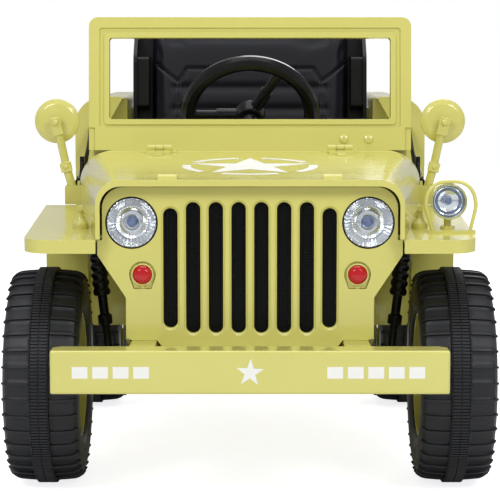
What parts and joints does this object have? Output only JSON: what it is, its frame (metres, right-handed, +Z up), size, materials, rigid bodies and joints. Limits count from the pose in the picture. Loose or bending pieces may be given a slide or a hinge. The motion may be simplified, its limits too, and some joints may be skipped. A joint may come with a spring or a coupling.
{
  "type": "child's ride-on army 4x4",
  "caption": "Child's battery ride-on army 4x4 with slotted grille, opening hood, open windscreen frame, padded seat, steered front wheels and a spare wheel.",
  "frame": {"origin": "on the floor, at the middle of the car's overall length and width", "axes": "+Z up; the car faces -Y; +X is the car's left side"},
  "size_m": [0.66, 1.133, 0.654],
  "materials": {
    "olive": "glossy moulded olive-yellow plastic",
    "black_plastic": "satin black moulded plastic",
    "tyre": "moulded black plastic tyre, tread satin, sidewall dull",
    "steel": "zinc-plated steel",
    "mesh": "fine black mesh",
    "reflector": "vacuum-plated fluted reflector",
    "clear_lens": "clear moulded lens",
    "red_lens": "red translucent lens",
    "seat_vinyl": "black padded leatherette",
    "webbing": "black polyester webbing"
  },
  "bodies": {
    "chassis": {"battery_block": "black_plastic", "body_floor": "olive", "body_side_left": "olive", "body_side_right": "olive", "chassis_frame": "olive", "cowl": "olive", "cowl_hinges": "olive", "dash_panel": "olive", "door_straps": "webbing", "engine_bay": "olive", "fender_left": "olive", "fender_right": "olive", "fog_lamp_bowl": "olive", "fog_lamp_guard": "olive", "fog_lamp_lens": "clear_lens", "front_axle_beam": "black_plastic", "front_bumper": "olive", "grille_mesh": "mesh", "grille_panel": "olive", "headlamp_bowls": "reflector", "headlamp_lenses": "clear_lens", "hood_catches": "olive", "marker_housings": "olive", "marker_lamps": "red_lens", "mirror_arms": "olive", "mirror_heads": "olive", "pedal": "black_plastic", "rear_axle": "steel", "rear_bumperettes": "olive", "rear_gearboxes": "black_plastic", "rear_panel": "olive", "seat_back_pad": "seat_vinyl", "seat_base_pad": "seat_vinyl", "seat_riser": "black_plastic", "seat_shell": "black_plastic", "spare_rim": "olive", "spare_tyre": "tyre", "steering_column": "black_plastic", "struts": "black_plastic", "tail_lamps": "red_lens", "toe_board": "olive", "windscreen_frame": "olive"},
    "knuckle_left": {"knuckle_left": "black_plastic"},
    "knuckle_right": {"knuckle_right": "black_plastic"},
    "tie_rod": {"tie_rod": "steel"},
    "front_wheel_left": {"tyre_front_left": "tyre", "rim_front_left": "olive"},
    "front_wheel_right": {"tyre_front_right": "tyre", "rim_front_right": "olive"},
    "rear_wheel_left": {"tyre_rear_left": "tyre", "rim_rear_left": "olive"},
    "rear_wheel_right": {"tyre_rear_right": "tyre", "rim_rear_right": "olive"},
    "steering_wheel": {"steering_wheel": "black_plastic"},
    "hood": {"hood": "olive", "hood_hinges": "olive"}
  },
  "joints": [
    {"name": "steer_left", "type": "hinge", "parent": "chassis", "child": "knuckle_left", "pos_m": [0.196, -0.3265, 0.15], "axis": [0, 0, 1], "range_deg": [-20, 20]},
    {"name": "steer_right", "type": "hinge", "parent": "chassis", "child": "knuckle_right", "pos_m": [-0.196, -0.3265, 0.15], "axis": [0, 0, 1], "range_deg": [-20, 20]},
    {"name": "tie_rod_pivot", "type": "hinge", "parent": "knuckle_left", "child": "tie_rod", "pos_m": [0.196, -0.3865, 0.1535], "axis": [0, 0, 1], "range_deg": [-20, 20]},
    {"name": "steering_wheel_turn", "type": "hinge", "parent": "chassis", "child": "steering_wheel", "pos_m": [0, 0.0135, 0.5], "axis": [0, 0.8387, 0.5446], "range_deg": [-40, 40]},
    {"name": "front_left_spin", "type": "hinge", "parent": "knuckle_left", "child": "front_wheel_left", "pos_m": [0.279, -0.3265, 0.15], "axis": [1, 0, 0], "continuous": true},
    {"name": "front_right_spin", "type": "hinge", "parent": "knuckle_right", "child": "front_wheel_right", "pos_m": [-0.279, -0.3265, 0.15], "axis": [1, 0, 0], "continuous": true},
    {"name": "rear_left_spin", "type": "hinge", "parent": "chassis", "child": "rear_wheel_left", "pos_m": [0.265, 0.2735, 0.15], "axis": [1, 0, 0], "continuous": true},
    {"name": "rear_right_spin", "type": "hinge", "parent": "chassis", "child": "rear_wheel_right", "pos_m": [-0.265, 0.2735, 0.15], "axis": [1, 0, 0], "continuous": true},
    {"name": "hood_lift", "type": "hinge", "parent": "chassis", "child": "hood", "pos_m": [0, -0.1275, 0.456], "axis": [-1, 0, 0], "range_deg": [0, 60]}
  ],
  "couplings": [
    {"joint": "steer_right", "follows": "steer_left", "ratio": 1},
    {"joint": "tie_rod_pivot", "follows": "steer_left", "ratio": -1},
    {"joint": "steering_wheel_turn", "follows": "steer_left", "ratio": 2}
  ]
}
